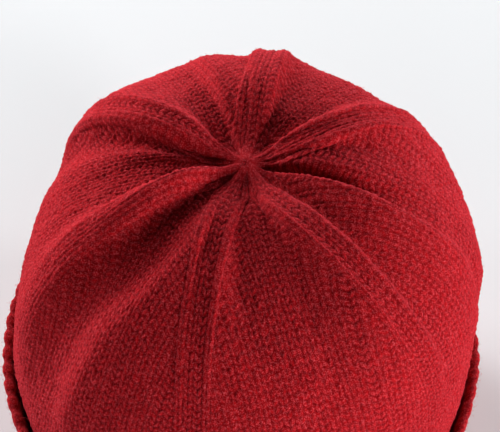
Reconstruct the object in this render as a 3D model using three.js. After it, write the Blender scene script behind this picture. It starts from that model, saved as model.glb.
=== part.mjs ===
// A knitted beanie with a turned-up ribbed cuff, standing on its lower fold.
// Millimetres, +Z up, +X to the right, -Y is the front.
// crown: the thin knitted dome, gathered by six decrease bands into a dimple at the top.
// cuff: the ribbed band, turned up round the crown from the fold it stands on.
import * as THREE from 'three';

// --- driving dimensions -----------------------------------------------------------------

const CROWN = {
  halfWidth: 82.5, // outer half width, X
  halfDepth: 96, // outer half depth, Y
  roundness: 2.6, // superellipse power of the side profile
  widestZ: 56, // height of the widest ring
  domeRise: 89, // from the widest ring to the top of the dome
  drawIn: { share: 0.072, overZ: 40 }, // how the wall narrows below the widest ring
  wall: 2.8, // thickness of the knit
  lowerEdgeZ: 8, // where the crown's wall meets the fold
};
const SLUMP = { x: 4.5, fromZ: 50, overZ: 60 }; // the dome leans to the right
const POLE = { x: -2.5, y: 5, reach: 60 }; // where the bands meet, off the middle
const DIMPLE = { depth: 9, width: 22 };
const CUFF = {
  halfWidth: { bottom: 81, top: 87.3 },
  halfDepth: { bottom: 94.5, top: 103 },
  flarePower: 2.5, // above 1 the cuff flares mostly near its free edge
  height: 50,
  wall: 3.8,
  ribs: 72,
  ribLift: 0.9,
  seatGap: 0.3, // between the crown's lower edge and the fold
};
const CUFF_ROUNDING = {
  footInset: 1.2, // of the flat ring from the crown's inner face
  foldInset: 2.6, // of the flat ring from the cuff's outer face
  foldHeight: 2.4, // where the fold has turned up into the outer face
  foldStep: 0.2, // of that ring from the outer face
  footHeight: 2, // where the fold has turned up inside
  rimDrop: 2, // from the free edge to where its rounding begins
  rimInset: { outside: 1.1, inside: 1 },
  seatReach: 0.6, // of the seat beyond the crown's outer face
};
const KNIT = { color: 0xa51423, roughness: 0.95, metalness: 0 };

// Folds of the crown, clockwise from the back, with angles from +X. Each row gives its angle in
// degrees and its lift off the smooth dome in mm at four distances along the wall from the top,
// the half width in mm over which it stays level, and the mesh columns up to the next fold.
const STATIONS = [20, 50, 85, 120];
const FOLD_COLUMNS = ['name', 'angle', 'lift', 'level', 'columns'];
const FOLDS = [
  ['band_back', [84, 83, 83, 83], [0, 3, 3, 0.5], 4.5, 6],
  ['hollow_back', [54, 57, 58, 60], [-2, -4, -0.5, 2], 12, 7],
  ['band_back_right', [19, 26, 30, 31], [1, 3, 2.5, 3.5], 4, 6],
  ['hollow_right', [2, 4, 5, 6], [-0.5, -1, -1, 3.5], 5, 4],
  ['crease_right', [-13, -13, -7, -4], [-7, -5, -0.5, 0.5], 0, 3],
  ['soft_fold_right', [-22, -19, -13, -10], [0, 3, 3.5, 1.5], 0, 5],
  ['hollow_front_right', [-42, -39, -35, -31], [-4, -3, -1.5, 0], 0, 3],
  ['band_front_right', [-58, -49, -43, -37], [0, 1.5, 2.5, 1], 4.5, 8],
  ['hollow_front', [-86, -82, -76, -73], [-3.5, -5, -2.5, -0.5], 10, 8],
  ['band_front', [-113, -110, -107, -104], [-2, -1.5, -0.5, 0], 3.5, 8],
  ['soft_fold_front_left', [-118, -121, -134, -139], [-1.5, 0, 0.5, 1.5], 0, 5],
  ['hollow_front_left', [-141, -141, -150, -153], [-4, -5.5, -4.5, -3], 2.5, 6],
  ['band_front_left', [-160, -158, -165, -172], [2, 3.5, 3.5, 0.5], 0.5, 5],
  ['crease_left', [-174, -176, -180, -186], [-4, -3.5, -1.5, -0.5], 4.5, 3],
  ['soft_fold_left', [-188, -190, -195, -199], [-3.5, -2, -0.5, 0], 0, 2],
  ['hollow_left', [-194, -197, -204, -206], [-4, -4.5, -2.5, 0.5], 1, 4],
  ['band_back_left', [-207, -210, -214, -217], [1, 4, 4.5, 1], 2.5, 6],
  ['hollow_back_left', [-240, -243, -245, -246], [-4, -3.5, 1.5, 1], 4, 3],
  ['soft_fold_back', [-254, -254, -254, -254], [-1.5, 0, 2.4, 1], 0, 3],
  ['groove_back', [-270, -269, -268, -267], [-0.5, 0, 0, 0], 0, 3],
].map((row) => Object.fromEntries(FOLD_COLUMNS.map((column, i) => [column, row[i]])));

// --- mesh resolution --------------------------------------------------------------------

const OUTER_ROWS = [5, 11, 18, 25, 32, 40, 50, 61, 72, 84, 96, 108, 120, 131, 142];
const INNER_ROWS = [5, 11, 18, 26, 36, 50, 66, 84, 102, 121, 138];
const WALL_HEIGHTS = [56, 46, 36, 26]; // rings of the crown below the dome
const CUFF_HEIGHTS = [14, 26, 37]; // rings between the fold and the free edge
const CORNERS_PER_RIB = [
  { at: 0.3, lift: 1 },
  { at: 0.8, lift: 0 },
];

// --- small helpers ----------------------------------------------------------------------

const TURN = 2 * Math.PI;
const degrees = THREE.MathUtils.radToDeg;
const radians = THREE.MathUtils.degToRad;
const lerp = THREE.MathUtils.lerp;
const smooth = (u) => THREE.MathUtils.smoothstep(u, 0, 1);

// Angles of an ellipse at even steps along its edge.
function evenAngles(halfX, halfY, shares) {
  const steps = 2880;
  const lengths = [0];
  for (let i = 0; i < steps; i += 1) {
    const angle = ((i + 0.5) * TURN) / steps;
    const step = Math.hypot(halfX * Math.sin(angle), halfY * Math.cos(angle));
    lengths.push(lengths[i] + step);
  }
  return shares.map((share) => {
    const wanted = share * lengths[steps];
    const next = Math.max(1, lengths.findIndex((length) => length >= wanted));
    const part = (wanted - lengths[next - 1]) / (lengths[next] - lengths[next - 1]);
    return ((next - 1 + part) * TURN) / steps;
  });
}

// --- the crown's surface ----------------------------------------------------------------

const MEAN_RADIUS = (CROWN.halfWidth + CROWN.halfDepth) / 2;

// The side profile: samples of its distance along the wall, girth share and height.
function crownProfile() {
  const steps = 900;
  const power = 2 / CROWN.roundness;
  const samples = [{ along: 0, share: 0, z: CROWN.widestZ + CROWN.domeRise }];
  for (let i = 1; i <= steps; i += 1) {
    const angle = (i / steps) * (Math.PI / 2);
    const share = Math.sin(angle) ** power;
    const z = CROWN.widestZ + CROWN.domeRise * Math.max(0, Math.cos(angle)) ** power;
    const last = samples[i - 1];
    const step = Math.hypot((share - last.share) * MEAN_RADIUS, z - last.z);
    samples.push({ along: last.along + step, share, z });
  }
  return samples;
}
const PROFILE = crownProfile();
const DOME_LENGTH = PROFILE.at(-1).along;

function wallShare(z) {
  return 1 - CROWN.drawIn.share * smooth((CROWN.widestZ - z) / CROWN.drawIn.overZ);
}

// Girth share and height at a distance along the wall; past the dome the wall runs straight down.
function profileAt(along) {
  if (along >= DOME_LENGTH) {
    const z = CROWN.widestZ - (along - DOME_LENGTH);
    return { share: wallShare(z), z };
  }
  const next = Math.max(1, PROFILE.findIndex((sample) => sample.along >= along));
  const [a, b] = [PROFILE[next - 1], PROFILE[next]];
  const part = (along - a.along) / (b.along - a.along);
  return { share: lerp(a.share, b.share, part), z: lerp(a.z, b.z, part) };
}

// The smooth dome before its folds.
function smoothPoint(angle, along) {
  const { share, z } = profileAt(along);
  const nearPole = Math.exp(-((along / POLE.reach) ** 2));
  const slump = THREE.MathUtils.clamp((z - SLUMP.fromZ) / SLUMP.overZ, 0, 1) * SLUMP.x;
  const dip = DIMPLE.depth * Math.exp(-(((share * MEAN_RADIUS) / DIMPLE.width) ** 2));
  return new THREE.Vector3(
    share * CROWN.halfWidth * Math.cos(angle) + POLE.x * nearPole + slump,
    share * CROWN.halfDepth * Math.sin(angle) + POLE.y * nearPole,
    z - dip,
  );
}

// A fold's column as a smooth curve through its stations.
function alongFold(values, along, ends) {
  if (along >= DOME_LENGTH) {
    return ends[1];
  }
  const places = [0, ...STATIONS, DOME_LENGTH];
  const all = [ends[0], ...values, ends[1]];
  const isEnd = (i) => i === 0 || i === places.length - 1;
  const slope = (i) => (isEnd(i) ? 0 : (all[i + 1] - all[i - 1]) / (places[i + 1] - places[i - 1]));
  const next = places.findIndex((place) => place > along);
  const step = places[next] - places[next - 1];
  const part = (along - places[next - 1]) / step;
  const bend = slope(next - 1) * (1 - part) - slope(next) * part;
  return lerp(all[next - 1], all[next], smooth(part)) + step * part * (1 - part) * bend;
}

// The folds at a distance along the wall, and the first one again a turn later.
function foldsAt(along) {
  const radius = Math.max(1, profileAt(along).share * MEAN_RADIUS);
  const folds = FOLDS.map((fold) => ({
    angle: alongFold(fold.angle, along, [fold.angle[0], fold.angle[3]]),
    lift: alongFold(fold.lift, along, [0, 0]),
    level: degrees(fold.level / radius),
  }));
  return [...folds, { ...folds[0], angle: folds[0].angle - 360 }];
}

// Height of the folds over the smooth dome.
function foldLift(angle, along) {
  const folds = foldsAt(along);
  const top = folds[0].angle;
  const here = top - THREE.MathUtils.euclideanModulo(top - degrees(angle), 360);
  const next = Math.max(1, folds.findIndex((fold) => fold.angle <= here));
  const [a, b] = [folds[next - 1], folds[next]];
  const gap = Math.max(1e-6, a.angle - b.angle);
  const [levelA, levelB] = [a, b].map((fold) => Math.min(fold.level, 0.4 * gap));
  const part = (a.angle - levelA - here) / (gap - levelA - levelB);
  return lerp(a.lift, b.lift, smooth(part));
}

// Angles of the crown's mesh columns, which run with the folds.
function columnAngles(along) {
  const folds = foldsAt(along);
  const angles = FOLDS.flatMap(({ columns }, i) =>
    Array.from({ length: columns }, (_, step) =>
      radians(lerp(folds[i].angle, folds[i + 1].angle, step / columns))));
  return angles.toReversed();
}

// A point of the crown, on its outer face or some way inside it.
function crownPoint(angle, along, inset) {
  const nudge = 0.01;
  const point = smoothPoint(angle, along);
  const round = smoothPoint(angle + nudge, along).sub(smoothPoint(angle - nudge, along));
  const down = smoothPoint(angle, along + nudge).sub(smoothPoint(angle, along - nudge));
  const out = down.cross(round).normalize();
  return point.addScaledVector(out, foldLift(angle, along) - inset);
}

// A point of the crown's upright wall at a height.
function wallPoint(angle, z, inset) {
  return crownPoint(angle, DOME_LENGTH + CROWN.widestZ - z, inset).setZ(z);
}

// --- meshes -----------------------------------------------------------------------------

// Bands of triangles between rings that have the same number of points.
function bandFaces(columns, from, to) {
  const faces = [];
  for (let i = 0; i < columns; i += 1) {
    const j = (i + 1) % columns;
    faces.push(from + i, to + i, to + j, from + i, to + j, from + j);
  }
  return faces;
}

function geometryOf(points, faces) {
  const geometry = new THREE.BufferGeometry();
  const numbers = points.flatMap((point) => point.toArray());
  geometry.setAttribute('position', new THREE.Float32BufferAttribute(numbers, 3));
  geometry.setIndex(faces);
  geometry.computeVertexNormals();
  return geometry;
}

// A skin from one tip over the rings to another tip.
function tippedSkin(firstTip, rings, lastTip) {
  const columns = rings[0].length;
  const points = [...rings.flat(), firstTip, lastTip];
  const first = rings.length * columns;
  const lastRing = first - columns;
  const faces = [];
  for (let i = 0; i < columns; i += 1) {
    const j = (i + 1) % columns;
    faces.push(first, i, j, first + 1, lastRing + j, lastRing + i);
  }
  for (let row = 0; row < rings.length - 1; row += 1) {
    faces.push(...bandFaces(columns, row * columns, (row + 1) * columns));
  }
  return geometryOf(points, faces);
}

// A skin that closes on itself, ring after ring.
function ringSkin(rings) {
  const columns = rings[0].length;
  const faces = rings.flatMap((_, row) => {
    const next = (row + 1) % rings.length;
    return bandFaces(columns, row * columns, next * columns);
  });
  return geometryOf(rings.flat(), faces);
}

function makeCrown() {
  const domeRing = (along, inset) =>
    columnAngles(along).map((angle) => crownPoint(angle, along, inset));
  const wallRing = (z, inset) =>
    columnAngles(DOME_LENGTH).map((angle) => wallPoint(angle, z, inset));
  const heights = [...WALL_HEIGHTS, CROWN.lowerEdgeZ];
  const rings = [
    ...OUTER_ROWS.map((along) => domeRing(along, 0)),
    ...heights.map((z) => wallRing(z, 0)),
    ...heights.toReversed().map((z) => wallRing(z, CROWN.wall)),
    ...INNER_ROWS.toReversed().map((along) => domeRing(along, CROWN.wall)),
  ];
  const tip = smoothPoint(0, 0);
  return tippedSkin(tip, rings, tip.clone().setZ(tip.z - CROWN.wall));
}

// --- the cuff ---------------------------------------------------------------------------

// A point of the cuff's outer face, moved outward by a lift or inward by a negative one.
function cuffPoint(angle, z, lift) {
  const part = (z / CUFF.height) ** CUFF.flarePower;
  const halfX = lerp(CUFF.halfWidth.bottom, CUFF.halfWidth.top, part);
  const halfY = lerp(CUFF.halfDepth.bottom, CUFF.halfDepth.top, part);
  const [cos, sin] = [Math.cos(angle), Math.sin(angle)];
  const out = new THREE.Vector3(cos / halfX, sin / halfY, 0).normalize();
  return new THREE.Vector3(halfX * cos, halfY * sin, z).addScaledVector(out, lift);
}

function makeCuff() {
  const corners = [];
  for (let rib = 0; rib < CUFF.ribs; rib += 1) {
    corners.push(...CORNERS_PER_RIB.map(({ at, lift }) => ({ share: (rib + at) / CUFF.ribs, lift })));
  }
  const shares = corners.map((corner) => corner.share);
  const angles = evenAngles(CUFF.halfWidth.top, CUFF.halfDepth.top, shares);
  const ribbed = (z, inset) =>
    corners.map((corner, i) => cuffPoint(angles[i], z, (corner.lift - 1) * CUFF.ribLift - inset));
  const plain = (z, inset) => angles.map((angle) => cuffPoint(angle, z, -inset));
  const foot = (z, inset) =>
    angles.map((angle) => wallPoint(angle, CROWN.lowerEdgeZ, inset).setZ(z));
  const seatZ = CROWN.lowerEdgeZ - CUFF.seatGap;
  const rimZ = CUFF.height - CUFF_ROUNDING.rimDrop;
  // Round the section: outer face up, over the free edge, down the gap, over the seat, down inside.
  const rings = [
    foot(0, CROWN.wall - CUFF_ROUNDING.footInset),
    plain(0, CUFF_ROUNDING.foldInset),
    ribbed(CUFF_ROUNDING.foldHeight, CUFF_ROUNDING.foldStep),
    ...CUFF_HEIGHTS.map((z) => ribbed(z, 0)),
    ribbed(rimZ, 0),
    ribbed(CUFF.height, CUFF_ROUNDING.rimInset.outside),
    plain(CUFF.height, CUFF.wall - CUFF_ROUNDING.rimInset.inside),
    plain(rimZ, CUFF.wall),
    ...CUFF_HEIGHTS.toReversed().map((z) => plain(z, CUFF.wall)),
    foot(seatZ, -CUFF_ROUNDING.seatReach),
    foot(seatZ, CROWN.wall),
    foot(CUFF_ROUNDING.footHeight, CROWN.wall),
  ];
  return ringSkin(rings.toReversed());
}

// --- the hat ----------------------------------------------------------------------------

function knitMesh(name, geometry) {
  const mesh = new THREE.Mesh(geometry, new THREE.MeshStandardMaterial(KNIT));
  mesh.name = name;
  return mesh;
}

const hat = new THREE.Group();
hat.add(knitMesh('crown', makeCrown()));
hat.add(knitMesh('cuff', makeCuff()));

export default hat;
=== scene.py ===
"""A red knitted beanie with a turned-up ribbed cuff, standing on its lower fold.

The crown is plain stockinette in six gores. Four-column decrease bands run between the gores
and meet in a gathered dimple. The cuff is a one by one rib. Every knit stitch is a pair of
slanted yarn legs, raised from the smooth wall by arrays. Lengths are millimetres until a mesh is
made.
"""
import math

import bpy
import numpy as np
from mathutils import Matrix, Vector


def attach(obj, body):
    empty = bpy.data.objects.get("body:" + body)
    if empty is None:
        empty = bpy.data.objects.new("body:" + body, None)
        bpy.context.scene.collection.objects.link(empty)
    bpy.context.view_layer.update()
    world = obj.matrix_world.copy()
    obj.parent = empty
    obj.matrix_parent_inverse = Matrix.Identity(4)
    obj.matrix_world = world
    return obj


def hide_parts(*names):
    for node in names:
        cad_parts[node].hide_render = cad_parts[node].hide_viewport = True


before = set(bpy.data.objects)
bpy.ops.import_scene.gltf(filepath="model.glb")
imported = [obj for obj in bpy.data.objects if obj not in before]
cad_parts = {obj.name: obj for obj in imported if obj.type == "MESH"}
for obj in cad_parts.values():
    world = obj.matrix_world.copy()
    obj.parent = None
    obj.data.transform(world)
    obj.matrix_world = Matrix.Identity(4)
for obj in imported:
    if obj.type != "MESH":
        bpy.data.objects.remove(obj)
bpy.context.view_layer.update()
MM = 0.001

# --- driving sizes, the same as the solids' ---

CROWN_HALF_WIDTH = 82.5
CROWN_HALF_DEPTH = 96.0
CROWN_ROUNDNESS = 2.6  # superellipse power of the side profile
CROWN_WIDEST_Z = 56.0
CROWN_RISE = 89.0  # of the dome over its widest ring, before the dimple
CROWN_DRAW_IN = {"share": 0.072, "over_z": 40.0}  # the wall narrows below the widest ring
CROWN_WALL = 2.8
CROWN_LOWER_EDGE_Z = 8.0
MEAN_RADIUS = (CROWN_HALF_WIDTH + CROWN_HALF_DEPTH) / 2
SLUMP = {"x": 4.5, "from_z": 50.0, "over_z": 60.0}  # the dome leans to the right
POLE = {"x": -2.5, "y": 5.0, "reach": 60.0}  # where the bands meet, off the middle
DIMPLE = {"depth": 9.0, "width": 22.0}

CUFF_HALF_WIDTH = {"bottom": 81.0, "top": 87.3}
CUFF_HALF_DEPTH = {"bottom": 94.5, "top": 103.0}
CUFF_FLARE_POWER = 2.5  # above 1 the cuff flares mostly near its free edge
CUFF_HEIGHT = 50.0
CUFF_RIBS = 72
CUFF_SEAT_Z = 7.7  # top of the fold, just under the crown's lower edge

# Folds of the crown, clockwise from the back: angle in degrees and lift in mm at four distances
# from the pole, and the half width in mm over which the fold stays level. The solids have the
# same folds, but band_back, hollow_front_left and band_front_left are up to 1.5 mm and 6 degrees
# away from theirs.
STATIONS = np.array([20.0, 50.0, 85.0, 120.0])  # mm from the pole
FOLD_COLUMNS = ("name", "angle", "lift", "level")
FOLD_ROWS = (
    ("band_back", (84, 83, 83, 83), (0, 2, 1.6, 0), 4.5),
    ("hollow_back", (54, 57, 58, 60), (-2, -4, -0.5, 2), 12),
    ("band_back_right", (19, 26, 30, 31), (1, 3, 2.5, 3.5), 4),
    ("hollow_right", (2, 4, 5, 6), (-0.5, -1, -1, 3.5), 5),
    ("crease_right", (-13, -13, -7, -4), (-7, -5, -0.5, 0.5), 0),
    ("soft_fold_right", (-22, -19, -13, -10), (0, 3, 3.5, 1.5), 0),
    ("hollow_front_right", (-42, -39, -35, -31), (-4, -3, -1.5, 0), 0),
    ("band_front_right", (-58, -49, -43, -37), (0, 1.5, 2.5, 1), 4.5),
    ("hollow_front", (-86, -82, -76, -73), (-3.5, -5, -2.5, -0.5), 10),
    ("band_front", (-113, -110, -107, -104), (-2, -1.5, -0.5, 0), 3.5),
    ("soft_fold_front_left", (-118, -121, -134, -139), (-1.5, 0, 0.5, 1.5), 0),
    ("hollow_front_left", (-141, -141, -149, -151), (-4, -5.5, -5, -3.5), 2),
    ("band_front_left", (-160, -158, -163, -166), (2, 3.5, 3.5, 2), 0.5),
    ("crease_left", (-174, -176, -180, -186), (-4, -3.5, -1.5, -0.5), 4.5),
    ("soft_fold_left", (-188, -190, -195, -199), (-3.5, -2, -0.5, 0), 0),
    ("hollow_left", (-194, -197, -204, -206), (-4, -4.5, -2.5, 0.5), 1),
    ("band_back_left", (-207, -210, -214, -217), (1, 4, 4.5, 1), 2.5),
    ("hollow_back_left", (-240, -243, -245, -246), (-4, -3.5, 1.5, 1), 4),
    ("soft_fold_back", (-254, -254, -254, -254), (-1.5, 0, 2.4, 1), 0),
    ("groove_back", (-270, -269, -268, -267), (-0.5, 0, 0, 0), 0),
)
FOLDS = [dict(zip(FOLD_COLUMNS, row)) for row in FOLD_ROWS]
LEVEL_LIMIT = 0.4  # the most of the gap to the next fold that a level top may take

# --- the knit ---

COURSE = {"top": 3.1, "low": 2.1, "from": 62.0, "over": 50.0}  # height of a stitch down the crown
LAST_COURSE = 77  # at the crown's lower edge
# How far a course dips in the middle of a gore, as a share of its distance from the pole. It
# fades down the crown, and is less where half the gore has fewer columns.
COURSE_DIP = {"share": 0.134, "from": 60.0, "over": 70.0, "columns": 2.5}
LEG_SLANT = 0.5  # rise of a stitch's leg over half a column, in courses
LEG_RELIEF = 0.67  # how far a leg stands out of the groove beside it
LEG_ROUNDNESS = 0.8  # below 1 a leg is blunter than a sine wave
LEG_LOW = {"beside": 0.3, "between": 0.2}  # height left between columns and between courses
LEG_MARGIN = 0.06  # share of half a column on each side of a leg
LEG_STRENGTH = {"least": 0.7, "spread": 0.6}  # the legs differ in relief
LEG_WANDER = {"share": 0.16, "size": 6.0}  # how far the legs stray sideways, in half columns
ROW_WANDER = 0.3  # how far a column's stitches are out of step, in courses
FELT = {"lift": 0.08, "from": 10.0}  # unevenness of the brushed surface
SWELL = {"lift": 0.3, "size": 34.0}  # broad unevenness of the cloth
RIPPLE = {"lift": 0.07, "size": 7.0}  # fine unevenness of the cloth

GORE_STITCHES = 20  # columns in a gore below its decreases
GORE_FULL = 0.985  # share of its greatest width at which a gore has all its columns
EDGE_PLACE = 0.72  # place in the stitch of a gore's cut edge, from the column's middle
EDGE_BLEND = 0.3  # columns over which a gore's stitches end at that place
BAND_STITCHES = 4  # columns in a decrease band
BAND_STITCH = {"dome": 3.3, "wall": 3.9, "from": 90.0, "over": 50.0}  # width of a band's column
BAND_CREST = {"lift": 0.8, "from": 25.0, "to": 110.0, "over": 40.0}  # its outer columns stand proud

POLE_ROW = 1.2  # the first ring round the gathered centre
POLE_TIP_DIP = 0.3  # of the middle point under that ring
POLE_KNOT = {"lift": 2.4, "reach": 6.5}
# Pleats round the knot, which leave out the middle columns of each band.
POLE_PLEAT = {"depth": 0.5, "along": 8.0, "reach": 5.0, "from": 4.0, "columns": 0.8}
POLE_FADE = {"near": 6.0, "far": 26.0, "far_share": 0.6}  # the stitches sink towards the centre
POLE_LIT_CREST = {"most": 0.9, "reach": 18.0}  # round the gathered centre the painted groove shade is left out, so the centre is painted lighter
INSIDE_LIT_CREST = 0.25  # the reverse has this share of the face's crest colour, so it is painted mostly with the groove shade, darker inside the hat
INSIDE_COURSES = 2  # from one ring of the reverse to the next

KNIT_SHARE = 0.6  # the raised column's share of a rib
RIB_LIFT = 0.7  # how far a knit column stands out of the purl columns beside it
RIB_LEVEL = 0.6  # share of that lift that lies under the cuff's smooth face
PURL_LIFT = 0.3
PURL_LIT_CREST = 0.6  # a purl bump is this much as pale as a leg; lower in the rib it is painted with the groove shade
CUFF_COURSE = 2.6
CUFF_LEG = {"lift": 0.4, "least": 0.8, "spread": 0.4}
CUFF_SWELL = {"lift": 0.35, "size": 40.0}

LEG_STEPS = 4  # grid columns to half a stitch's column
COURSE_STEPS = 3  # grid rings to a course

SEED = {"leg_strength": 11, "leg_tone": 23, "leg_wander": 14, "row_wander": 31, "felt": 17,
        "swell": 3, "ripple": 8, "cuff_legs": 5, "cuff_swell": 9, "crown_fibres": 71,
        "cuff_fibres": 72}
PHASES = 64  # random numbers held for the columns or courses of one part
FELT_MARGIN = 4  # rings held beyond each end of the crown


def smooth(part):
    """0 below 0, 1 above 1 and an easy slope between."""
    part = np.clip(part, 0, 1)
    return part * part * (3 - 2 * part)


# --- the crown's smooth surface ---

def crown_profile():
    """Distance along the wall, girth share and height, from the pole to the widest ring."""
    samples = 901
    turn = np.linspace(0, math.pi / 2, samples)
    power = 2 / CROWN_ROUNDNESS
    share = np.sin(turn) ** power
    height = CROWN_WIDEST_Z + CROWN_RISE * np.maximum(np.cos(turn), 0) ** power
    steps = np.hypot(np.diff(share) * MEAN_RADIUS, np.diff(height))
    return np.concatenate(([0], np.cumsum(steps))), share, height


PROFILE_ALONG, PROFILE_SHARE, PROFILE_Z = crown_profile()
DOME_LENGTH = PROFILE_ALONG[-1]


def profile_at(along):
    """Girth share and height at a distance from the pole, on the dome or the wall under it."""
    below = np.maximum(along - DOME_LENGTH, 0)
    wall_share = 1 - CROWN_DRAW_IN["share"] * smooth(below / CROWN_DRAW_IN["over_z"])
    share = np.where(below > 0, wall_share, np.interp(along, PROFILE_ALONG, PROFILE_SHARE))
    height = np.interp(along, PROFILE_ALONG, PROFILE_Z) - below
    return share, height


def smooth_point(angle, along):
    """Points of the crown before its folds."""
    share, height = profile_at(along)
    near_pole = np.exp(-((along / POLE["reach"]) ** 2))
    slump = np.clip((height - SLUMP["from_z"]) / SLUMP["over_z"], 0, 1) * SLUMP["x"]
    dip = DIMPLE["depth"] * np.exp(-((share * MEAN_RADIUS / DIMPLE["width"]) ** 2))
    return np.stack([
        share * CROWN_HALF_WIDTH * np.cos(angle) + POLE["x"] * near_pole + slump,
        share * CROWN_HALF_DEPTH * np.sin(angle) + POLE["y"] * near_pole,
        height - dip,
    ], -1)


def normal_of(surface, angle, along):
    """The outward normals of a surface that is a function of angle and distance."""
    nudge = 0.01  # in radians and in mm
    turned = surface(angle + nudge, along) - surface(angle - nudge, along)
    down = surface(angle, along + nudge) - surface(angle, along - nudge)
    normal = np.cross(down, turned)
    return normal / np.linalg.norm(normal, axis=-1, keepdims=True)


def along_fold(values, ends, along):
    """A fold's column as a smooth curve through its stations."""
    places = np.concatenate(([0], STATIONS, [DOME_LENGTH]))
    every = np.array([ends[0], *values, ends[1]], float)
    slopes = np.zeros(len(places))
    slopes[1:-1] = (every[2:] - every[:-2]) / (places[2:] - places[:-2])
    along = np.minimum(along, DOME_LENGTH)
    piece = np.clip(np.searchsorted(places, along, side="right") - 1, 0, len(places) - 2)
    step = (places[1:] - places[:-1])[piece]
    part = (along - places[piece]) / step
    rise = smooth(part)
    return (every[piece] * (1 - rise) + every[piece + 1] * rise
            + step * part * (1 - part) * (slopes[piece] * (1 - part) - slopes[piece + 1] * part))


def fold_angle(name, along):
    """Direction of a named fold in degrees, at a distance from the pole."""
    fold = next(fold for fold in FOLDS if fold["name"] == name)
    return along_fold(fold["angle"], (fold["angle"][0], fold["angle"][-1]), along)


def fold_lift(angle, along):
    """Height of the folds over the smooth dome."""
    angles = [along_fold(f["angle"], (f["angle"][0], f["angle"][-1]), along) for f in FOLDS]
    lifts = [along_fold(f["lift"], (0, 0), along) for f in FOLDS]
    share, _ = profile_at(along)
    level = np.degrees(1 / np.maximum(share * MEAN_RADIUS, 1))
    levels = [f["level"] * level for f in FOLDS]
    angles = np.stack([*angles, angles[0] - 360], -1)
    lifts = np.stack([*lifts, lifts[0]], -1)
    levels = np.stack([*levels, levels[0]], -1)
    here = angles[..., 0] - np.mod(angles[..., 0] - np.degrees(angle), 360)
    first = np.clip((angles >= here[..., None]).sum(-1) - 1, 0, len(FOLDS) - 1)[..., None]

    def beside(values):
        return [np.take_along_axis(values, first + step, -1)[..., 0] for step in (0, 1)]

    before, after = beside(angles)
    lift_before, lift_after = beside(lifts)
    gap = np.maximum(before - after, 1e-6)
    level_before, level_after = (np.minimum(half, LEVEL_LIMIT * gap) for half in beside(levels))
    part = smooth((before - level_before - here) / (gap - level_before - level_after))
    return lift_before * (1 - part) + lift_after * part


def crown_surface(angle, along):
    """Points of the crown's outer face with its folds, before its stitches."""
    out = normal_of(smooth_point, angle, along)
    return smooth_point(angle, along) + out * fold_lift(angle, along)[..., None]


# --- meshes from grids ---

WELD_PER_MM = 2e4  # points in the same step of this grid are one


def ring_quads(rows, columns):
    """Quads between neighbouring rings of a grid that closes on itself sideways."""
    row, column = np.meshgrid(np.arange(rows - 1), np.arange(columns), indexing="ij")
    beside = (column + 1) % columns
    quads = np.stack([row * columns + column, (row + 1) * columns + column,
                      (row + 1) * columns + beside, row * columns + beside], -1)
    return quads.reshape(-1, 4)


def welded(points, quads, layers, rim, normals):
    """Merge points that meet; a quad whose side has shrunk to a point becomes a triangle."""
    keys = np.round(points * WELD_PER_MM).astype(np.int64)
    _, keep, where = np.unique(keys, axis=0, return_index=True, return_inverse=True)
    where = where.reshape(-1)
    total = np.zeros((len(keep), 3))
    np.add.at(total, where, normals)
    quads = where[quads]
    same = quads == np.roll(quads, -1, axis=1)
    crossed = (quads[:, 0] == quads[:, 2]) | (quads[:, 1] == quads[:, 3])
    is_whole = ~same.any(axis=1) & ~crossed
    is_narrow = same.sum(axis=1) == 1
    narrow = quads[is_narrow]
    side = same[is_narrow].argmax(axis=1)
    order = (side[:, None] + np.arange(1, 4)) % 4
    triangles = np.take_along_axis(narrow, order, 1)
    distinct = ((triangles[:, 0] != triangles[:, 1]) & (triangles[:, 1] != triangles[:, 2])
                & (triangles[:, 0] != triangles[:, 2]))
    flat = np.concatenate([rim[is_whole], rim[is_narrow][distinct]])
    layers = {name: layer[keep] for name, layer in layers.items()}
    return points[keep], quads[is_whole], triangles[distinct], layers, flat, total


def mesh_piece(name, points, quads, triangles, layers, flat, normals, material):
    """An object from arrays; a normal of zero length leaves that point to Blender."""
    mesh = bpy.data.meshes.new(name)
    mesh.vertices.add(len(points))
    mesh.vertices.foreach_set("co", (points * MM).astype(np.float32).ravel())
    corners = np.concatenate([quads.ravel(), triangles.ravel()]).astype(np.int32)
    sizes = np.concatenate([np.full(len(quads), 4), np.full(len(triangles), 3)])
    mesh.loops.add(len(corners))
    mesh.loops.foreach_set("vertex_index", corners)
    starts = np.concatenate(([0], np.cumsum(sizes)[:-1]))
    mesh.polygons.add(len(sizes))
    mesh.polygons.foreach_set("loop_start", starts.astype(np.int32))
    mesh.polygons.foreach_set("loop_total", sizes.astype(np.int32))
    mesh.polygons.foreach_set("use_smooth", ~flat)
    for layer_name, layer in layers.items():
        attribute = mesh.attributes.new(layer_name, "FLOAT", "POINT")
        attribute.data.foreach_set("value", layer.astype(np.float32))
    mesh.update(calc_edges=True)
    mesh.validate()
    length = np.linalg.norm(normals, axis=1, keepdims=True)
    unit = np.where(length > 0, normals / np.maximum(length, 1e-12), 0)
    mesh.normals_split_custom_set_from_vertices(unit)
    mesh.materials.append(material)
    piece = bpy.data.objects.new(name, mesh)
    bpy.context.scene.collection.objects.link(piece)
    return piece


# --- stitches ---

def leg_place(column):
    """0 in the middle of a stitch's column, 1 at its sides."""
    return np.abs(2 * np.mod(column, 1) - 1)


def leg_shape(side, row):
    """Height of a leg across its column and across its strand, 0 to 1."""
    inside = LEG_MARGIN + (1 - 2 * LEG_MARGIN) * side
    beside, between = LEG_LOW["beside"], LEG_LOW["between"]
    across_column = beside + (1 - beside) * np.sin(math.pi * inside) ** LEG_ROUNDNESS
    across_strand = between + (1 - between) * np.abs(np.sin(math.pi * row)) ** LEG_ROUNDNESS
    return across_column * across_strand


# Waves through space, each finer than the one before, and shares of the size along each axis.
WAVES = {"count": 4, "coarsest": 0.6, "finer": 0.27, "axes": (1, 0.8, 1.1), "highest": 1.6}


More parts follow.
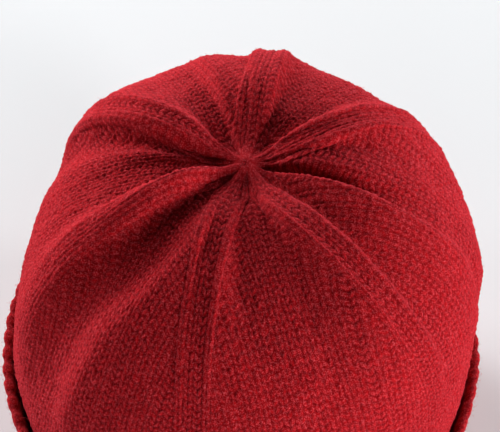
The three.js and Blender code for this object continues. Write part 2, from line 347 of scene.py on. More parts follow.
def uneven(points, size, seed):
    """A gentle wave through space, about -1 to 1."""
    phases = np.random.default_rng(seed).uniform(0, 2 * math.pi, (WAVES["count"], 3))
    wave = 0
    for index, phase in enumerate(phases):
        stretch = (2 * math.pi / size) * (WAVES["coarsest"] + WAVES["finer"] * index)
        turned = points[..., [index % 3, (index + 1) % 3, (index + 2) % 3]]
        wave = wave + np.prod(np.sin(turned * stretch * WAVES["axes"] + phase), axis=-1)
    return wave / WAVES["highest"]


# --- the crown's knitted grid ---

BANDS = ("band_back", "band_back_right", "band_front_right", "band_front", "band_front_left",
         "band_back_left")


def local_radius(angle):
    """How far a step of angle reaches along the widest ring."""
    return np.hypot(CROWN_HALF_WIDTH * np.sin(angle), CROWN_HALF_DEPTH * np.cos(angle))


def band_half_width(along):
    """Half the width of a decrease band, in mm."""
    on_dome = BAND_STITCHES * BAND_STITCH["dome"] / 2
    on_wall = BAND_STITCHES * BAND_STITCH["wall"] / 2
    part = smooth((along - BAND_STITCH["from"]) / BAND_STITCH["over"])
    return on_dome + (on_wall - on_dome) * part


def gore_layout(left_band, right_band, along):
    """Middle and half angle of a gore, with half the band on each side left out."""
    left = np.radians(fold_angle(left_band, along))
    right = np.radians(fold_angle(right_band, along))
    left = np.where(left < right, left + 2 * math.pi, left)
    share, _ = profile_at(along)
    ring = np.maximum(share, 1e-4)
    half = (left - right) / 2
    left_half = np.minimum(band_half_width(along) / (ring * local_radius(left)), half)
    right_half = np.minimum(band_half_width(along) / (ring * local_radius(right)), half)
    left_edge = left - left_half
    right_edge = right + right_half
    return (left_edge + right_edge) / 2, np.maximum((left_edge - right_edge) / 2, 0)


def gore_count(left_band, right_band, along):
    """Columns left in a gore at a distance from the pole."""
    samples = 300
    reach = np.linspace(0, DOME_LENGTH, samples)
    _, half = gore_layout(left_band, right_band, reach)
    share, _ = profile_at(reach)
    width = np.maximum.accumulate(half * share)
    count = GORE_STITCHES * np.minimum(1, width / (GORE_FULL * width[-1]))
    return np.interp(along, reach, count)


def course_places():
    """Distance from the pole of every course's edge."""
    places = [POLE_ROW]
    while len(places) < LAST_COURSE + 3:
        part = smooth((places[-1] - COURSE["from"]) / COURSE["over"])
        places.append(places[-1] + COURSE["top"] * (1 - part) + COURSE["low"] * part)
    return np.array(places)


COURSE_PLACES = course_places()


def course_along(row):
    """Distance from the pole of a place counted in courses."""
    before_pole = np.minimum(row, 0) * COURSE["top"]
    return np.interp(row, np.arange(len(COURSE_PLACES)), COURSE_PLACES) + before_pole


def gore_grid(left_band, right_band, rows):
    """Angle, distance, place in the stitch and stitch row of every point of a gore."""
    columns = np.arange(GORE_STITCHES * 2 * LEG_STEPS) / (2 * LEG_STEPS) - GORE_STITCHES / 2
    row, column = np.meshgrid(rows, columns, indexing="ij")
    half_count = gore_count(left_band, right_band, course_along(row)) / 2
    kept = np.clip(column, -half_count, half_count)
    across = np.clip(column / np.maximum(half_count, 1e-6), -1, 1)
    window = smooth((half_count - np.abs(kept)) / EDGE_BLEND)
    side = EDGE_PLACE + (leg_place(kept) - EDGE_PLACE) * window
    band_along = course_along(row + LEG_SLANT * (1 - side))
    faded = 1 - smooth((band_along - COURSE_DIP["from"]) / COURSE_DIP["over"])
    dip = COURSE_DIP["share"] * band_along * faded
    along = (band_along
             - dip * (1 - across ** 2) * np.minimum(1, half_count / COURSE_DIP["columns"]))
    middle, half = gore_layout(left_band, right_band, along)
    return {
        "angle": middle - across * half,
        "along": along,
        "side": side,
        "row": row,
        "crest": np.zeros_like(row),
        "pleat": np.ones_like(row),
        "column": kept,
    }


def band_grid(band, left_band, right_band, rows):
    """The same for a band; left_band and right_band are its neighbours."""
    columns = np.arange(BAND_STITCHES * 2 * LEG_STEPS) / (2 * LEG_STEPS)
    row, column = np.meshgrid(rows, columns, indexing="ij")
    side = leg_place(column)
    along = course_along(row + LEG_SLANT * (1 - side))
    left_middle, left_half = gore_layout(left_band, band, along)
    right_middle, right_half = gore_layout(band, right_band, along)
    start = left_middle - left_half
    end = right_middle + right_half
    end = np.where(end > start, end - 2 * math.pi, end)
    outer = np.minimum(column, BAND_STITCHES - column)
    rising = smooth(along / BAND_CREST["from"])
    falling = smooth((BAND_CREST["to"] - along) / BAND_CREST["over"])
    crest = np.exp(-(((outer - 0.5) / 0.5) ** 2)) * rising * falling
    return {
        "angle": start + (end - start) * column / BAND_STITCHES,
        "along": along,
        "side": side,
        "row": row,
        "crest": crest,
        "pleat": np.exp(-((outer / POLE_PLEAT["columns"]) ** 2)),
        "column": column,
    }


def crown_grid(rows):
    """All six gores and bands side by side, clockwise from the back band."""
    parts = []
    for index, band in enumerate(BANDS):
        before = BANDS[index - 1]
        after = BANDS[(index + 1) % len(BANDS)]
        parts.append(band_grid(band, before, after, rows))
        parts.append(gore_grid(band, after, rows))
    grid = {key: np.concatenate([part[key] for part in parts], axis=1) for key in parts[0]}
    sectors = [np.full(part["row"].shape, float(index)) for index, part in enumerate(parts)]
    grid["sector"] = np.concatenate(sectors, axis=1)
    return grid


def stitch_random(grid, seed):
    """One random number, 0 to 1, for each leg of each stitch."""
    table = np.random.default_rng(seed).random((2 * len(BANDS), PHASES, LAST_COURSE + 2))
    leg = np.floor(grid["column"] * 2).astype(int) % PHASES
    return table[grid["sector"].astype(int), leg, np.floor(grid["row"]).astype(int)]


def column_random(grid, seed):
    """One random number, 0 to 1, for each column of stitches."""
    table = np.random.default_rng(seed).random((2 * len(BANDS), PHASES))
    return table[grid["sector"].astype(int), np.floor(grid["column"]).astype(int) % PHASES]


def felt(grid):
    """One random height for each point, the same in every piece that shares a ring."""
    columns = grid["row"].shape[1]
    size = (LAST_COURSE * COURSE_STEPS + 2 * FELT_MARGIN, columns)
    table = np.random.default_rng(SEED["felt"]).normal(0, 1, size)
    ring = np.rint(grid["row"] * COURSE_STEPS).astype(int) + FELT_MARGIN
    return table[ring, np.arange(columns)[None, :]]


def pole_shape(grid):
    """Lift of the puckered knot at the pole, and depth of the pleats round it."""
    along = grid["along"]
    knot = POLE_KNOT["lift"] * np.exp(-((along / POLE_KNOT["reach"]) ** 2))
    near = np.exp(-(((along - POLE_PLEAT["along"]) / POLE_PLEAT["reach"]) ** 2))
    pleat = POLE_PLEAT["depth"] * near * grid["pleat"] * smooth(along / POLE_PLEAT["from"])
    return knot, pleat


def knit_crown(grid, depth_weight):
    """Points of the crown's outer face with its stitches raised, and their shading layers."""
    along = grid["along"]
    surface = crown_surface(grid["angle"], along)
    out = normal_of(crown_surface, grid["angle"], along)
    stray = LEG_WANDER["share"] * uneven(surface, LEG_WANDER["size"], SEED["leg_wander"])
    side = np.clip(grid["side"] + stray, 0, 1)
    row = grid["row"] + ROW_WANDER * (column_random(grid, SEED["row_wander"]) - 0.5)
    shape = leg_shape(side, row)
    far_share = POLE_FADE["far_share"]
    gathered = (smooth(along / POLE_FADE["far"]) * far_share
                + (1 - far_share) * smooth(along / POLE_FADE["near"]))
    random = stitch_random(grid, SEED["leg_strength"])
    strength = (LEG_STRENGTH["least"] + LEG_STRENGTH["spread"] * random) * gathered * depth_weight
    raised = LEG_RELIEF * (shape * strength - 0.5) + BAND_CREST["lift"] * grid["crest"]
    raised = raised + FELT["lift"] * felt(grid) * smooth(along / FELT["from"])
    raised = (raised + SWELL["lift"] * uneven(surface, SWELL["size"], SEED["swell"])
              + RIPPLE["lift"] * uneven(surface, RIPPLE["size"], SEED["ripple"]))
    knot, pleat = pole_shape(grid)
    raised = raised + knot - pleat
    # The first shading layer is 1 on the crests of the legs and 0 in the grooves, where the wool is
    # painted with shade; round the pole that shade is left out.
    layers = {
        "pile": np.maximum(shape, POLE_LIT_CREST["most"] * (1 - smooth(along / POLE_LIT_CREST["reach"]))),
        "leg": stitch_random(grid, SEED["leg_tone"]),
    }
    return surface + out * raised[..., None], layers


def face_normals(points):
    """Normals of a grid's inner rings, so that neighbouring pieces shade as one."""
    beside = np.roll(points, -1, axis=1)
    face = np.cross(points[1:] - beside[:-1], beside[1:] - points[:-1])
    ring = face[1:] + face[:-1]
    return ring + np.roll(ring, 1, axis=1)


def lining(grid):
    """Points of the crown's inner face under the same grid."""
    surface = crown_surface(grid["angle"], grid["along"])
    out = normal_of(smooth_point, grid["angle"], grid["along"])
    return surface - out * CROWN_WALL


def closing_quads(total, columns):
    """Quads from the last ring of a grid back to its first."""
    last = (total - 1) * columns
    column = np.arange(columns)
    beside = (column + 1) % columns
    return np.stack([last + column, column, beside, last + beside], -1)


def closed_wall(outer, inner, outer_layers, inner_rows, normals):
    """A wall's outer face joined to its inner face round both rims."""
    rows, columns = outer.shape[:2]
    inner = inner[inner_rows][::-1]
    points = np.concatenate([outer, inner]).reshape(-1, 3)
    layers = {}
    for name, layer in outer_layers.items():
        # the inner face is painted darker, mostly with the groove shade
        inside = layer[inner_rows][::-1] * (INSIDE_LIT_CREST if name == "pile" else 1)
        layers[name] = np.concatenate([layer, inside]).ravel()
    total = rows + len(inner)
    quads = np.concatenate([ring_quads(total, columns), closing_quads(total, columns)])
    rim = np.zeros(len(quads), bool)
    rim[(rows - 1) * columns:rows * columns] = True
    rim[-columns:] = True
    normals = np.concatenate([normals, np.zeros_like(inner)]).reshape(-1, 3)
    return points, quads, layers, rim, normals


def tipped(points, layers, dip):
    """Put a tip before the first ring, sunk a little below it."""
    tip = points[:1].mean(axis=1, keepdims=True) - (0, 0, dip)
    points = np.concatenate([np.broadcast_to(tip, points[:1].shape), points])
    layers = {name: np.concatenate([layer[:1] * 0 + layer[:1].mean(), layer])
              for name, layer in layers.items()}
    return points, layers


def course_rows(first_course, last_course, steps):
    """Rings from one course to another, with one more at each end for the normals."""
    return np.arange(first_course * steps - 1, last_course * steps + 2) / steps


def crown_piece(name, first_course, last_course, depth_weight, steps, material):
    """A part of the crown's wall; its stitches are depth_weight times as deep."""
    grid = crown_grid(course_rows(first_course, last_course, steps))
    outer, layers = knit_crown(grid, depth_weight)
    normals = face_normals(outer)
    inner = lining(grid)[1:-1]
    outer = outer[1:-1]
    layers = {name: layer[1:-1] for name, layer in layers.items()}
    if first_course == 0:
        outer, layers = tipped(outer, layers, POLE_TIP_DIP)
        inner, _ = tipped(inner, {}, 0)
        normals = np.concatenate([np.zeros_like(normals[:1]), normals])
    inner_rows = np.arange(0, len(outer), steps * INSIDE_COURSES)
    inner_rows = np.unique(np.append(inner_rows, len(outer) - 1))
    wall = closed_wall(outer, inner, layers, inner_rows, normals)
    return mesh_piece(name, *welded(*wall), material)


# --- the cuff ---

def even_angles(half_x, half_y, shares):
    """Angles round an oval at which shares of its girth are reached."""
    steps = 2880
    turn = (np.arange(steps) + 0.5) * 2 * math.pi / steps
    chords = np.hypot(half_x * np.sin(turn), half_y * np.cos(turn))
    lengths = np.concatenate(([0], np.cumsum(chords)))
    turns = np.linspace(0, 2 * math.pi, steps + 1)
    return np.interp(shares * lengths[-1], lengths, turns)


def cuff_face(angle, height, inset):
    """Points of the flared cuff, inset from its outer face."""
    part = (height / CUFF_HEIGHT) ** CUFF_FLARE_POWER
    half_x = CUFF_HALF_WIDTH["bottom"] * (1 - part) + CUFF_HALF_WIDTH["top"] * part
    half_y = CUFF_HALF_DEPTH["bottom"] * (1 - part) + CUFF_HALF_DEPTH["top"] * part
    out = np.stack([np.cos(angle) / half_x, np.sin(angle) / half_y], -1)
    out = out / np.linalg.norm(out, axis=-1, keepdims=True)
    x = half_x * np.cos(angle) - out[..., 0] * inset
    y = half_y * np.sin(angle) - out[..., 1] * inset
    return np.stack([x, y, np.full_like(x, height)], -1)


def fold_inside(angle, height, inset):
    """The foot's inner side, under the crown's inner face."""
    along = np.full_like(angle, DOME_LENGTH + CROWN_WIDEST_Z - CROWN_LOWER_EDGE_Z)
    out = normal_of(smooth_point, angle, along)
    point = smooth_point(angle, along) - out * inset
    point[..., 2] = height
    return point


# Round the section of the cuff: down inside, under the fold, up the outside, over the free
# edge, down behind it and along the seat. relief is the share of the stitches that shows.
CUFF_SECTION_COLUMNS = ("face", "height", "inset", "relief")
CUFF_SECTION_ROWS = (
    (fold_inside, 7.0, 2.8, 0.2),
    (fold_inside, 2.0, 2.8, 0.3),
    (fold_inside, 0.4, 1.9, 0.1),
    (cuff_face, 0.4, 2.7, 0.1),
    (cuff_face, 2.6, 0.6, 0.8),
    (cuff_face, 12.0, 0.1, 1.0),
    (cuff_face, 25.0, 0.1, 1.0),
    (cuff_face, 38.0, 0.1, 1.0),
    (cuff_face, 47.5, 0.1, 1.0),
    (cuff_face, 49.6, 1.0, 0.8),
    (cuff_face, 49.6, 2.7, 0.6),
    (cuff_face, 47.5, 3.6, 0.5),
    (cuff_face, 36.0, 3.7, 0.4),
    (cuff_face, 22.0, 3.7, 0.3),
    (cuff_face, 10.5, 3.7, 0.1),
    (fold_inside, CUFF_SEAT_Z, -0.4, 0.0),
    (fold_inside, CUFF_SEAT_Z, 2.2, 0.0),
)
CUFF_SECTION = [dict(zip(CUFF_SECTION_COLUMNS, row)) for row in CUFF_SECTION_ROWS]
CUFF_OUTSIDE = (3, 11)  # the section's rows that are seen, with fine courses
SECTION_ANGLE = 0.9  # in radians, where the section's length is measured
SECTION_STEPS = 60  # of that measure, from one row to the next


def cuff_columns():
    """For each grid column: share round the cuff, place in the stitch, knit or purl, column."""
    knit_part = np.arange(2 * LEG_STEPS) / (2 * LEG_STEPS)
    purl_part = np.arange(LEG_STEPS) / LEG_STEPS
    share = np.append(knit_part * KNIT_SHARE, KNIT_SHARE + purl_part * (1 - KNIT_SHARE))
    side = np.append(leg_place(knit_part), np.ones(LEG_STEPS))
    knit = np.append(np.ones(2 * LEG_STEPS), np.zeros(LEG_STEPS))
    column = np.append(knit_part, 1 + purl_part)
    rib = np.repeat(np.arange(CUFF_RIBS), len(column))
    share, side, knit, column = (np.tile(part, CUFF_RIBS) for part in (share, side, knit, column))
    return (rib + share) / CUFF_RIBS, side, knit, rib * 2 + column


def through(points, place):
    """A smooth closed curve through rings of points, at a place counted in rings."""
    count = len(points)
    first = int(math.floor(place)) % count
    part = place - math.floor(place)
    a, b, c, d = (points[(first + step) % count] for step in (-1, 0, 1, 2))
    return 0.5 * (2 * b + (c - a) * part + (2 * a - 5 * b + 4 * c - d) * part ** 2
                  + (3 * b - a - 3 * c + d) * part ** 3)


def cuff_rows():
    """Places round the section, evenly spaced in courses, finer where they are seen."""
    angle = np.array([SECTION_ANGLE])
    rings = [row["face"](angle, row["height"], row["inset"])[0] for row in CUFF_SECTION]
    places = np.linspace(0, len(CUFF_SECTION), len(CUFF_SECTION) * SECTION_STEPS + 1)
    path = np.array([through(rings, place) for place in places])
    length = np.concatenate(([0], np.cumsum(np.linalg.norm(np.diff(path, axis=0), axis=1))))
    courses = int(round(length[-1] / CUFF_COURSE))
    outside = np.interp(CUFF_OUTSIDE, places, length) / length[-1] * courses
    fine = np.arange(math.floor(outside[0]) * COURSE_STEPS, math.ceil(outside[1]) * COURSE_STEPS)
    before = np.arange(0, math.floor(outside[0]))
    after = np.arange(math.ceil(outside[1]), courses)
    rows = np.concatenate([before, fine / COURSE_STEPS, after])
    return rows, np.interp(rows / courses * length[-1], length, places)


def purl_shape(column, row):
    """Low bumps of the reverse stitches in the grooves of the rib, 0 to 1."""
    shifted = row + 0.5 * np.mod(np.floor(column * 2), 2)
    return np.abs(np.sin(math.pi * shifted)) ** LEG_ROUNDNESS


def cuff_base():
    """Smooth points of the cuff, relief of each ring, and the rings' rows and places."""
    rows, places = cuff_rows()
    columns = cuff_columns()
    angles = even_angles(CUFF_HALF_WIDTH["top"], CUFF_HALF_DEPTH["top"], columns[0])
    rings = [row["face"](angles, row["height"], row["inset"]) for row in CUFF_SECTION]
    relief_rings = [np.array([row["relief"]]) for row in CUFF_SECTION]
    base = np.array([through(rings, place) for place in places])
    relief = np.array([through(relief_rings, place)[0] for place in places])[:, None]
    return base, relief, rows, places, columns[1:]


def knit_cuff():
    """Points of the cuff with its stitches raised, their area normals and shading layers."""
    base, relief, rows, places, (side, knit, column) = cuff_base()
    down = np.roll(base, -1, axis=0) - np.roll(base, 1, axis=0)
    turned = np.roll(base, -1, axis=1) - np.roll(base, 1, axis=1)
    area = np.cross(turned, down)
    out = area / np.linalg.norm(area, axis=-1, keepdims=True)
    row_grid = np.repeat(rows[:, None], len(column), axis=1)
    rib_round = 0.5 + 0.5 * np.sin(math.pi * np.mod(column, 2))
    slant = LEG_SLANT * (1 - side) * knit
    purl = purl_shape(column[None, :], row_grid) * (1 - knit)
    legs = leg_shape(side[None, :], row_grid - slant[None, :]) * knit
    table = np.random.default_rng(SEED["cuff_legs"]).random((4 * CUFF_RIBS, PHASES))
    leg_index = np.floor(column * 2).astype(int)[None, :]
    random = table[leg_index, np.floor(row_grid).astype(int) % PHASES]
    leg_lift = CUFF_LEG["lift"] * legs * (CUFF_LEG["least"] + CUFF_LEG["spread"] * random)
    raised = RIB_LIFT * (rib_round - RIB_LEVEL) + PURL_LIFT * (purl - 0.5) + leg_lift
    swell = CUFF_SWELL["lift"] * uneven(base, CUFF_SWELL["size"], SEED["cuff_swell"])
    points = base + out * (raised * relief)[..., None]
    points = points + out * (swell * relief)[..., None]
    points[..., 2] = np.maximum(points[..., 2], 0)
    # The first shading layer is low in the grooves of the rib, where the wool is painted with
    # shade.
    layers = {"pile": np.clip(legs + PURL_LIT_CREST * purl, 0, 1), "leg": random}
    is_seen = (places > CUFF_OUTSIDE[0]) & (places < CUFF_OUTSIDE[1] + 0.5)
    return points, area * is_seen[:, None, None], layers


def cuff_piece(name, material):
    """The cuff's wall as one closed ring."""
    points, _, layers = knit_cuff()
    total, columns = points.shape[:2]
    quads = np.concatenate([ring_quads(total, columns), closing_quads(total, columns)])[:, ::-1]
    layers = {name: layer.ravel() for name, layer in layers.items()}
    points = points.reshape(-1, 3)
    ring = welded(points, quads, layers, np.zeros(len(quads), bool), np.zeros_like(points))
    return mesh_piece(name, *ring, material)


# --- the halo of loose fibres ---

# A loop falls back to the knit and a free fibre ends in the air. Lengths are ranges in mm.
LOOP = {"reach": (1.2, 2.6), "rise": (0.35, 0.9)}
FREE = {"reach": (1.2, 3.0), "rise": (0.5, 1.8)}
LOOP_SHARE = 0.6
STRAY = {"share": 0.004, "times": 2.2}  # a few fibres are longer
FIBRE_RADIUS = 0.045
FIBRE_ROOT = 0.25  # how far a fibre starts under the surface
FIBRE_SCATTER = 0.2  # how far it starts from a grid point
FIBRE_BEND = 0.35  # the most it bends sideways, as a share of its reach
FREE_CURVE = {"middle_rise": 0.75, "end_reach": 0.8}  # a free fibre turns up towards its tip
FIBRE_TURNS = np.array([0.5, 2.6, 4.7])  # of the three corners round its middle, in radians
FIBRE_FLOOR = 0.05  # no fibre reaches lower
ACROSS = (0.31, 0.22, 0.93)  # any direction, to turn from
FIBRE_FACES = np.array([(0, 2, 1), (0, 3, 2), (0, 1, 3), (4, 1, 2), (4, 2, 3), (4, 3, 1)])


def scattered(points, normals, count, random):
    """Places spread evenly over a grid's area, with the normal and a direction there."""
    flat_points, flat_normals = points.reshape(-1, 3), normals.reshape(-1, 3)
    area = np.linalg.norm(flat_normals, axis=1)
    chosen = random.choice(len(area), count, p=area / area.sum())
    out = flat_normals[chosen] / np.maximum(area[chosen], 1e-9)[:, None]
    turned = np.cross(out, ACROSS)
    turned = turned / np.linalg.norm(turned, axis=1, keepdims=True)
    turn = random.uniform(0, 2 * math.pi, (count, 1))
    forward = turned * np.cos(turn) + np.cross(out, turned) * np.sin(turn)
    return flat_points[chosen] + random.normal(0, FIBRE_SCATTER, (count, 3)), out, forward


def fibres(name, points, normals, count, seed, material):
    """Bent threads that stand out of a surface, each of three corners and two tips."""
    random = np.random.default_rng(seed)
    start, out, forward = scattered(points, normals, count, random)
    aside = np.cross(out, forward)
    is_loop = random.random((count, 1)) < LOOP_SHARE

    def drawn(key):
        loop, free = (random.uniform(*kind[key], (count, 1)) for kind in (LOOP, FREE))
        return np.where(is_loop, loop, free)

    reach = drawn("reach")
    reach = reach * np.where(random.random((count, 1)) < STRAY["share"], STRAY["times"], 1)
    rise = drawn("rise")
    start = start - out * FIBRE_ROOT
    bend = aside * reach * random.uniform(-FIBRE_BEND, FIBRE_BEND, (count, 1))
    middle_rise = np.where(is_loop, rise, rise * FREE_CURVE["middle_rise"])
    middle = start + forward * reach * 0.5 + bend + out * middle_rise
    end_share = np.where(is_loop, 1.0, FREE_CURVE["end_reach"])
    end = start + forward * reach * end_share + out * np.where(is_loop, 0, rise)
    ring = [middle + FIBRE_RADIUS * (aside * math.cos(turn) + out * math.sin(turn))
            for turn in FIBRE_TURNS]
    corners = np.stack([start, *ring, end], 1).reshape(-1, 3)
    corners[:, 2] = np.maximum(corners[:, 2], FIBRE_FLOOR)
    first = 5 * np.arange(count)[:, None, None]
    triangles = (FIBRE_FACES[None] + first).reshape(-1, 3)
    quads = np.zeros((0, 4), int)
    flat = np.zeros(len(triangles), bool)
    normals = np.zeros_like(corners)
    return mesh_piece(name, corners, quads, triangles, {}, flat, normals, material)


def crown_fibres(name, first_course, last_course, count, material):
    """Fibres on the crown's outer face, from one course to another."""
    outer, _ = knit_crown(crown_grid(course_rows(first_course, last_course, COURSE_STEPS)), 1.0)
    return fibres(name, outer[1:-1], face_normals(outer), count, SEED["crown_fibres"], material)


def cuff_fibres(name, count, material):
    """Fibres on the part of the cuff that is seen."""
    points, area, _ = knit_cuff()
    return fibres(name, points, area, count, SEED["cuff_fibres"], material)


# --- materials ---

class Signal:
    """A shader value that takes Python's operators, which add Math nodes."""

    def __init__(self, shader, socket):
        self.shader = shader
        self.socket = socket

    def math(self, operation, other):
        values = {0: self, 1: other}
        return self.shader.node("ShaderNodeMath", {"operation": operation}, values).out()

    def __add__(self, other):
        return self.math("ADD", other)

    __radd__ = __add__

    def __mul__(self, other):
        return self.math("MULTIPLY", other)

    __rmul__ = __mul__

    def __sub__(self, other):
        return self.math("SUBTRACT", other)

    def __rsub__(self, other):
        return (self * -1) + other

    def power(self, other):
        return self.math("POWER", other)


class Node:
    """A shader node whose outputs are signals."""

    def __init__(self, shader, node):
        self.shader = shader
        self.node = node

    def out(self, name=0):
        return Signal(self.shader, self.node.outputs[name])


class Shader:
    """A material's node tree."""

    def __init__(self, name):
        self.material = bpy.data.materials.new(name)
        self.material.use_nodes = True
        self.tree = self.material.node_tree
        self.tree.nodes.clear()

    def node(self, kind, settings=None, inputs=None):
        """A new node with its settings and its inputs, each a value or a signal."""
        node = self.tree.nodes.new(kind)
        for key, value in (settings or {}).items():
            if key == "stops":
                ramp_stops(node.color_ramp, value)
            else:
                setattr(node, key, value)
        for key, value in (inputs or {}).items():
            if isinstance(value, Signal):
                self.tree.links.new(value.socket, node.inputs[key])
            else:
                node.inputs[key].default_value = value
        return Node(self, node)

    def mix(self, factor, first, second, blend="MIX"):
        settings = {"data_type": "RGBA", "blend_type": blend}
        return self.node("ShaderNodeMix", settings, {0: factor, 6: first, 7: second}).out(2)

    def noise(self, place, scale, detail, roughness=0.5):
        inputs = {"Vector": place, "Scale": scale, "Detail": detail, "Roughness": roughness}
        return self.node("ShaderNodeTexNoise", None, inputs).out("Fac")

    def ramp(self, factor, stops):
        return self.node("ShaderNodeValToRGB", {"stops": stops}, {"Fac": factor}).out("Color")

    def layer(self, name):
        return self.node("ShaderNodeAttribute", {"attribute_name": name}).out("Fac")

    def grey(self, tone):
        return self.node("ShaderNodeCombineColor", None, {0: tone, 1: tone, 2: tone}).out("Color")

    def principled(self, inputs):
        """The finished material with one Principled BSDF."""
        bsdf = self.node("ShaderNodeBsdfPrincipled", None, inputs)
        self.node("ShaderNodeOutputMaterial", None, {"Surface": bsdf.out("BSDF")})
        return self.material


def ramp_stops(ramp, stops):
    """Grey stops, each a place and a value."""
    while len(ramp.elements) > 1:
        ramp.elements.remove(ramp.elements[-1])
    for index, (place, value) in enumerate(stops):
        element = ramp.elements[0] if index == 0 else ramp.elements.new(place)
        element.position = place
        element.color = (value, value, value, 1)


WOOL = {
    "gap": (0.11, 0.0002, 0.001, 1),  # painted shade in the holes between the fibres of the yarn
    "groove": (0.12, 0.0005, 0.0018, 1),  # painted shade in the grooves between the stitches
    "yarn": (0.4, 0.005, 0.008, 1),
    "tip": (0.66, 0.115, 0.14, 1),  # pale ends of the brushed fibres, random flecks that are partly painted highlight, strongest on the crests of the legs
    "sheen": (1.0, 0.11, 0.17, 1),
}
WOOL_SCALE = {"fibre": 2200.0, "hole": 1300.0, "tuft": 700.0, "patch": 45.0}  # per metre
# Pale fibre tips: flecks from the fibre noise, partly painted highlight that is strongest on the
# crests of the legs.
TIP_HIGHLIGHT = {"from": 0.5, "full": 0.63, "share": 0.75, "by_tuft": 0.7, "by_lit_crest": 0.9}
# Painted shade in the holes between the fibres, less on the crests of the legs.
HOLE_SHADE = {"full": 0.32, "none": 0.46, "share": 0.85, "less_by_lit_crest": 0.65}
TONE = {"level": 0.86, "by_leg": 0.12, "by_patch": 0.16, "by_fibre": 0.5}
WOOL_BUMP = {"strength": 0.6, "depth": 0.0006, "tuft": 0.4, "fibre": 0.5, "hole": 0.4}
# How quickly the painted groove shade gives way to the yarn colour up a leg.
LIT_CREST_POWER = 1.2
HALO_COLOR = (0.6, 0.045, 0.055, 1)


def wool_color(shader, fibre, tuft, hole, patch):
    """Painted shade darkens the grooves and the holes between fibres; the legs are paler, flecked
    with pale tips that are partly painted highlight.
    """
    pile = shader.layer("pile")
    # painted shade in the grooves, giving way to the yarn colour up each leg
    color = shader.mix(pile.power(LIT_CREST_POWER), WOOL["groove"], WOOL["yarn"])
    # pale fibre tips, random flecks that are partly painted highlight on the crests of the legs
    pale = shader.ramp(fibre, ((TIP_HIGHLIGHT["from"], 0), (TIP_HIGHLIGHT["full"], 1)))
    pale = pale * (1 - TIP_HIGHLIGHT["by_tuft"] + TIP_HIGHLIGHT["by_tuft"] * tuft)
    pale = pale * (1 - TIP_HIGHLIGHT["by_lit_crest"] + TIP_HIGHLIGHT["by_lit_crest"] * pile)
    color = shader.mix(pale * TIP_HIGHLIGHT["share"], color, WOOL["tip"])
    # dark holes between fibres, painted shade, less on the crests of the legs
    dark = shader.ramp(hole, ((HOLE_SHADE["full"], 1), (HOLE_SHADE["none"], 0)))
    dark = dark * (HOLE_SHADE["share"] - HOLE_SHADE["less_by_lit_crest"] * pile)
    color = shader.mix(dark, color, WOOL["gap"])
    tone = (TONE["level"] + TONE["by_leg"] * shader.layer("leg")
            + TONE["by_patch"] * (patch - 0.5) + TONE["by_fibre"] * (fibre - 0.5))
    return shader.mix(1.0, color, shader.grey(tone), "MULTIPLY")


def wool(name):
    """Brushed red wool."""
    shader = Shader(name)
    place = shader.node("ShaderNodeTexCoord").out("Object")
    fibre = shader.noise(place, WOOL_SCALE["fibre"], 3.0, 0.65)
    tuft = shader.noise(place, WOOL_SCALE["tuft"], 2.0)
    hole = shader.noise(place, WOOL_SCALE["hole"], 2.0, 0.6)
    patch = shader.noise(place, WOOL_SCALE["patch"], 2.0)
    height = WOOL_BUMP["tuft"] * tuft + WOOL_BUMP["fibre"] * fibre + WOOL_BUMP["hole"] * hole
    bump = shader.node("ShaderNodeBump", None, {
        "Strength": WOOL_BUMP["strength"],
        "Distance": WOOL_BUMP["depth"],
        "Height": height,
    })
    return shader.principled({
        "Base Color": wool_color(shader, fibre, tuft, hole, patch),
        "Roughness": 0.95,
        "Specular IOR Level": 0.02,
        "Sheen Weight": 0.15,
        "Sheen Roughness": 0.5,
        "Sheen Tint": WOOL["sheen"],
        "Normal": bump.out("Normal"),
    })


def loose_fibre(name):
    inputs = {"Base Color": HALO_COLOR, "Roughness": 0.9, "Specular IOR Level": 0.05}
    return Shader(name).principled(inputs)


def paper(name, color):
    return Shader(name).principled({"Base Color": color, "Roughness": 0.95})


# --- camera, light and floor ---

# Lengths are in metres from here on.
VIEW_ELEVATION = math.radians(47)
VIEW_DISTANCE = 1.3
VIEW_LENS = 256.5
VIEW_SENSOR = 36
VIEW_REACH = (0.01, 50)  # the nearest and farthest that the camera sees
VIEW_TARGET = Vector((0, 0, CUFF_HEIGHT * MM))
FRAME_SHIFT = (0.0035, 0.047)  # the middle of the frame from the target, right and up


def add_camera():
    camera = bpy.data.objects.new("camera", bpy.data.cameras.new("camera"))
    bpy.context.scene.collection.objects.link(camera)
    camera.data.lens = VIEW_LENS
    camera.data.sensor_width = VIEW_SENSOR
    camera.data.clip_start, camera.data.clip_end = VIEW_REACH
    back = Vector((0, -math.cos(VIEW_ELEVATION), math.sin(VIEW_ELEVATION)))
    up = Vector((0, math.sin(VIEW_ELEVATION), math.cos(VIEW_ELEVATION)))
    camera.location = VIEW_TARGET + back * VIEW_DISTANCE
    aim = VIEW_TARGET + Vector((FRAME_SHIFT[0], 0, 0)) + up * FRAME_SHIFT[1]
    camera.rotation_euler = (aim - camera.location).to_track_quat("-Z", "Y").to_euler()
    bpy.context.scene.camera = camera


# Soft lights round the hat: direction (anticlockwise from the right) and height in degrees,
# distance and size in metres, and power in watts.
LIGHT_COLUMNS = ("name", "direction", "height", "distance", "size", "power")
LIGHT_ROWS = (
    ("window_back", 90, 24, 1.8, 1.1, 15),
    ("window_back_left", 135, 24, 1.8, 1.1, 25),
    ("glow_right", 0, 9, 2.0, 0.5, 25),
    ("glow_back_right", 45, 9, 2.0, 0.5, 20),
    ("glow_back", 90, 9, 2.0, 0.5, 15),
    ("glow_back_left", 135, 9, 2.0, 0.5, 40),
    ("glow_left", 180, 9, 2.0, 0.5, 10),
    ("glow_front", 270, 9, 2.0, 0.5, 10),
    ("glow_front_right", 315, 9, 2.0, 0.5, 35),
)
LIGHT_TARGET = Vector((0, 0, 0.08))
LIGHT_BASE = 0.05  # height of the rig's middle
SKY = 0.02
FLOOR = {"reach": 4.0, "drop": 0.0002, "color": (0.645, 0.665, 0.68, 1)}


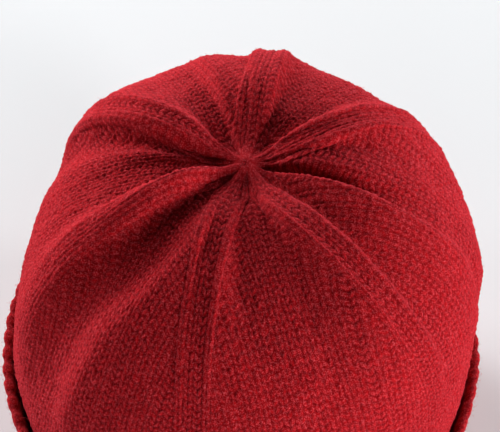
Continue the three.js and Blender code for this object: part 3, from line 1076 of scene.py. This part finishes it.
def add_lamp(name, direction, height, distance, size, power):
    light = bpy.data.lights.new(name, "AREA")
    light.shape = "DISK"
    light.size = size
    light.energy = power
    lamp = bpy.data.objects.new(name, light)
    bpy.context.scene.collection.objects.link(lamp)
    turn, rise = math.radians(direction), math.radians(height)
    level = math.cos(rise)
    toward = Vector((math.cos(turn) * level, math.sin(turn) * level, math.sin(rise)))
    lamp.location = toward * distance + Vector((0, 0, LIGHT_BASE))
    lamp.rotation_euler = (LIGHT_TARGET - lamp.location).to_track_quat("-Z", "Y").to_euler()


def add_light():
    for row in LIGHT_ROWS:
        add_lamp(**dict(zip(LIGHT_COLUMNS, row)))
    world = bpy.data.worlds.new("studio")
    world.use_nodes = True
    background = world.node_tree.nodes["Background"]
    background.inputs["Color"].default_value = (1.0, 1.0, 1.0, 1)
    background.inputs["Strength"].default_value = SKY
    bpy.context.scene.world = world
    bpy.context.scene.view_settings.view_transform = "Standard"


def add_floor():
    mesh = bpy.data.meshes.new("floor")
    reach = FLOOR["reach"]
    corners = [(-reach, -reach, 0), (reach, -reach, 0), (reach, reach, 0), (-reach, reach, 0)]
    mesh.from_pydata(corners, [], [(0, 1, 2, 3)])
    mesh.materials.append(paper("floor_paper", FLOOR["color"]))
    floor = bpy.data.objects.new("floor", mesh)
    bpy.context.scene.collection.objects.link(floor)
    floor.location.z = -FLOOR["drop"]


# --- assembly ---

# Name, first and last course, depth of the stitches and grid rings to a course.
CROWN_PIECES = (
    ("crown_top", 0, 24, 1.0, COURSE_STEPS),
    ("crown_shoulder", 24, 41, 1.0, COURSE_STEPS),
    ("crown_side", 41, 58, 1.0, COURSE_STEPS),
    ("crown_tuck", 58, LAST_COURSE, 0.4, 1),  # behind the cuff
)
CROWN_HALO = {"first_course": 1, "last_course": 58, "count": 24000}
CUFF_HALO = {"count": 9000}


def stand_for(piece, node):
    """Make a piece ride on the hat's one body and stand for a solid."""
    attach(piece, "root")
    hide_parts(node)


def add_hat():
    crown_wool = wool("crown_wool")
    cuff_wool = wool("cuff_wool")
    for row in CROWN_PIECES:
        stand_for(crown_piece(*row, crown_wool), "crown")
    stand_for(cuff_piece("cuff_rib", cuff_wool), "cuff")
    halo = loose_fibre("halo_wool")
    crown_halo = crown_fibres("crown_fibres", **CROWN_HALO, material=halo)
    stand_for(crown_halo, "crown")
    stand_for(cuff_fibres("cuff_fibres", **CUFF_HALO, material=halo), "cuff")


add_camera()
add_hat()
add_light()
add_floor()
